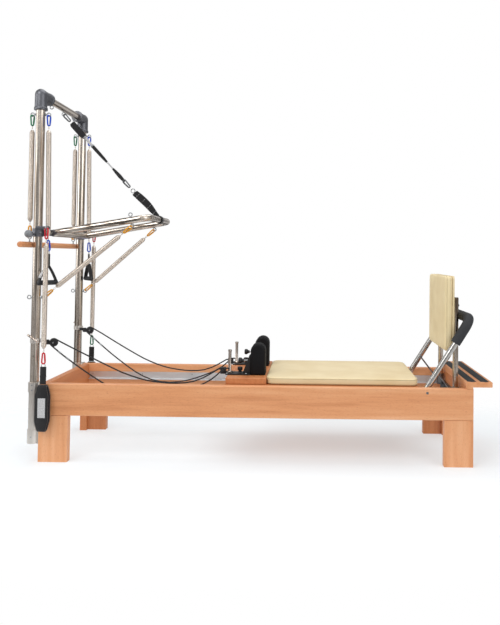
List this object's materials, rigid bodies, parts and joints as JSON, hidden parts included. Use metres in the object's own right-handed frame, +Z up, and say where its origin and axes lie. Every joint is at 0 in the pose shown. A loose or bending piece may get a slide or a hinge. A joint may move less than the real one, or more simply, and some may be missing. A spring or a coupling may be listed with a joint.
{
  "type": "pilates tower unit",
  "caption": "Wooden reformer bed with a sprung sliding carriage, footbar, jump board, foot platform and a half trapeze tower with hung springs.",
  "frame": {"origin": "on the floor under the centre of the footprint", "axes": "+X from the tower to the foot platform, along the bed; +Y to the far side; +Z up"},
  "size_m": [2.607, 0.87, 2.0765],
  "materials": {
    "beech": "satin lacquer",
    "ply": "satin lacquer",
    "steel": "polished stainless tube",
    "spring_steel": "plated wire",
    "cast_aluminium": "brushed casting",
    "track_aluminium": "anodised extrusion",
    "foam": "matt foam",
    "plastic": "moulded",
    "webbing": "woven webbing",
    "rope": "braided cord",
    "vinyl": "soft upholstery cover",
    "rest_cover": "soft upholstery cover"
  },
  "bodies": {
    "frame_and_tower": {"side_rail_near": "beech", "side_rail_far": "beech", "leg_tower_near": "beech", "leg_tower_far": "beech", "leg_foot_near": "beech", "leg_foot_far": "beech", "track_near": "track_aluminium", "track_far": "track_aluminium", "end_board_tower": "beech", "end_board_foot": "beech", "foot_platform": "beech", "upright_near": "steel", "upright_far": "steel", "upright_clamp_near": "cast_aluminium", "upright_clamp_far": "cast_aluminium", "top_elbow_near": "cast_aluminium", "top_elbow_far": "cast_aluminium", "crossbar": "steel", "push_bar_bracket_near": "cast_aluminium", "push_bar_bracket_far": "cast_aluminium", "pulley_bracket_near": "cast_aluminium", "pulley_bracket_far": "cast_aluminium", "handle_spring_near": "spring_steel", "handle_spring_far": "spring_steel", "push_bar_spring_near": "spring_steel", "push_bar_spring_far": "spring_steel", "safety_strap": "webbing", "carriage_spring_near": "spring_steel", "carriage_spring_far": "spring_steel", "rope_near": "rope", "rope_far": "rope", "socket_plate": "steel"},
    "carriage": {"carriage_base": "ply", "head_board": "beech", "carriage_pad": "vinyl", "rope_post_near": "plastic", "rope_post_far": "plastic"},
    "wheels_head": {"wheel_set_head": "plastic"},
    "wheels_foot": {"wheel_set_foot": "plastic"},
    "rest_near": {"shoulder_rest_near": "rest_cover"},
    "rest_far": {"shoulder_rest_far": "rest_cover"},
    "push_bar": {"push_through_bar": "steel"},
    "locking_pin": {"pull_pin": "plastic"},
    "pulley_wheel_near": {"pulley_near": "plastic"},
    "pulley_wheel_far": {"pulley_far": "plastic"},
    "left_springs": {"left_spring_near": "spring_steel", "left_spring_far": "spring_steel"},
    "roll_bar": {"roll_down_bar": "beech"},
    "hand_loop_near": {"handle_near": "webbing"},
    "hand_loop_far": {"handle_far": "webbing"},
    "leg_spring_unit_near": {"leg_spring_near": "spring_steel"},
    "leg_spring_unit_far": {"leg_spring_far": "spring_steel"},
    "cuff_near": {"foot_cuff_near": "foam"},
    "cuff_far": {"foot_cuff_far": "foam"},
    "footbar": {"footbar": "steel", "footbar_grip": "foam"},
    "prop_near": {"footbar_strut_near": "steel"},
    "prop_far": {"footbar_strut_far": "steel"},
    "jump_board": {"jump_board_frame": "steel", "jump_board_pad": "vinyl"}
  },
  "joints": [
    {"name": "carriage_slide", "type": "slide", "parent": "frame_and_tower", "child": "carriage", "axis": [-1, 0, 0], "range_m": [0, 0.9], "stiffness_N_per_m": 300, "springref_m": -0.2, "deforming": ["rope_near", "rope_far", "carriage_spring_near", "carriage_spring_far"]},
    {"name": "wheel_turn_head", "type": "hinge", "parent": "carriage", "child": "wheels_head", "pos_m": [-0.0525, 0, 0.3583], "axis": [0, -1, 0], "continuous": true},
    {"name": "wheel_turn_foot", "type": "hinge", "parent": "carriage", "child": "wheels_foot", "pos_m": [0.7735, 0, 0.3583], "axis": [0, -1, 0], "continuous": true},
    {"name": "rest_lift_near", "type": "slide", "parent": "carriage", "child": "rest_near", "axis": [0, 0, 1], "range_m": [0, 0.03]},
    {"name": "rest_lift_far", "type": "slide", "parent": "carriage", "child": "rest_far", "axis": [0, 0, 1], "range_m": [0, 0.03]},
    {"name": "push_bar_swing", "type": "hinge", "parent": "frame_and_tower", "child": "push_bar", "pos_m": [-1.1815, 0, 1.265], "axis": [0, -1, 0], "range_deg": [0, 80], "stiffness_Nm_per_rad": 8, "springref_deg": -22.92, "deforming": ["push_bar_spring_near", "push_bar_spring_far", "safety_strap"]},
    {"name": "locking_pin_pull", "type": "slide", "parent": "frame_and_tower", "child": "locking_pin", "axis": [-0.342, -0.9397, 0], "range_m": [0, 0.012], "stiffness_N_per_m": 400, "springref_m": -0.004},
    {"name": "pulley_turn_near", "type": "hinge", "parent": "frame_and_tower", "child": "pulley_wheel_near", "pos_m": [-1.1515, -0.285, 0.648], "axis": [0, 1, 0], "continuous": true},
    {"name": "pulley_turn_far", "type": "hinge", "parent": "frame_and_tower", "child": "pulley_wheel_far", "pos_m": [-1.1515, 0.285, 0.648], "axis": [0, 1, 0], "continuous": true},
    {"name": "roll_bar_swing", "type": "hinge", "parent": "frame_and_tower", "child": "left_springs", "pos_m": [-1.2875, 0, 1.93], "axis": [0, 1, 0], "range_deg": [0, 55]},
    {"name": "roll_bar_pull", "type": "slide", "parent": "left_springs", "child": "roll_bar", "axis": [0, 0, -1], "range_m": [0, 0.25], "stiffness_N_per_m": 300, "springref_m": -0.1, "deforming": ["left_spring_near", "left_spring_far"]},
    {"name": "hand_loop_swing_near", "type": "hinge", "parent": "frame_and_tower", "child": "hand_loop_near", "pos_m": [-1.1815, -0.318, 1.16], "axis": [0.866, -0.5, 0], "range_deg": [-8, 8]},
    {"name": "hand_loop_swing_far", "type": "hinge", "parent": "frame_and_tower", "child": "hand_loop_far", "pos_m": [-1.1815, 0.318, 1.16], "axis": [0.866, 0.5, 0], "range_deg": [-8, 8]},
    {"name": "leg_spring_swing_near", "type": "hinge", "parent": "frame_and_tower", "child": "leg_spring_unit_near", "pos_m": [-1.1695, -0.375, 1.292], "axis": [-1, 0, 0], "range_deg": [0, 60]},
    {"name": "cuff_pull_near", "type": "slide", "parent": "leg_spring_unit_near", "child": "cuff_near", "axis": [0, 0, -1], "range_m": [0, 0.13], "stiffness_N_per_m": 300, "springref_m": -0.08, "deforming": ["leg_spring_near"]},
    {"name": "leg_spring_swing_far", "type": "hinge", "parent": "frame_and_tower", "child": "leg_spring_unit_far", "pos_m": [-1.1695, 0.375, 1.292], "axis": [1, 0, 0], "range_deg": [0, 60]},
    {"name": "cuff_pull_far", "type": "slide", "parent": "leg_spring_unit_far", "child": "cuff_far", "axis": [0, 0, -1], "range_m": [0, 0.13], "stiffness_N_per_m": 300, "springref_m": -0.08, "deforming": ["leg_spring_far"]},
    {"name": "footbar_fold", "type": "hinge", "parent": "frame_and_tower", "child": "footbar", "pos_m": [0.9435, 0, 0.404], "axis": [0, 1, 0], "range_deg": [0, 34]},
    {"name": "prop_turn_near", "type": "hinge", "parent": "footbar", "child": "prop_near", "pos_m": [1.00921, -0.25, 0.50916], "axis": [0, 1, 0], "range_deg": [-28, 0]},
    {"name": "prop_turn_far", "type": "hinge", "parent": "footbar", "child": "prop_far", "pos_m": [1.00921, 0.25, 0.50916], "axis": [0, 1, 0], "range_deg": [-28, 0]},
    {"name": "jump_board_lift", "type": "slide", "parent": "frame_and_tower", "child": "jump_board", "axis": [0, 0, 1], "range_m": [0, 0.25]}
  ],
  "couplings": [
    {"joint": "wheel_turn_head", "follows": "carriage_slide", "rad_per_m": 50},
    {"joint": "wheel_turn_foot", "follows": "carriage_slide", "rad_per_m": 50},
    {"joint": "prop_turn_near", "follows": "footbar_fold", "ratio": -0.8},
    {"joint": "prop_turn_far", "follows": "footbar_fold", "ratio": -0.8}
  ]
}
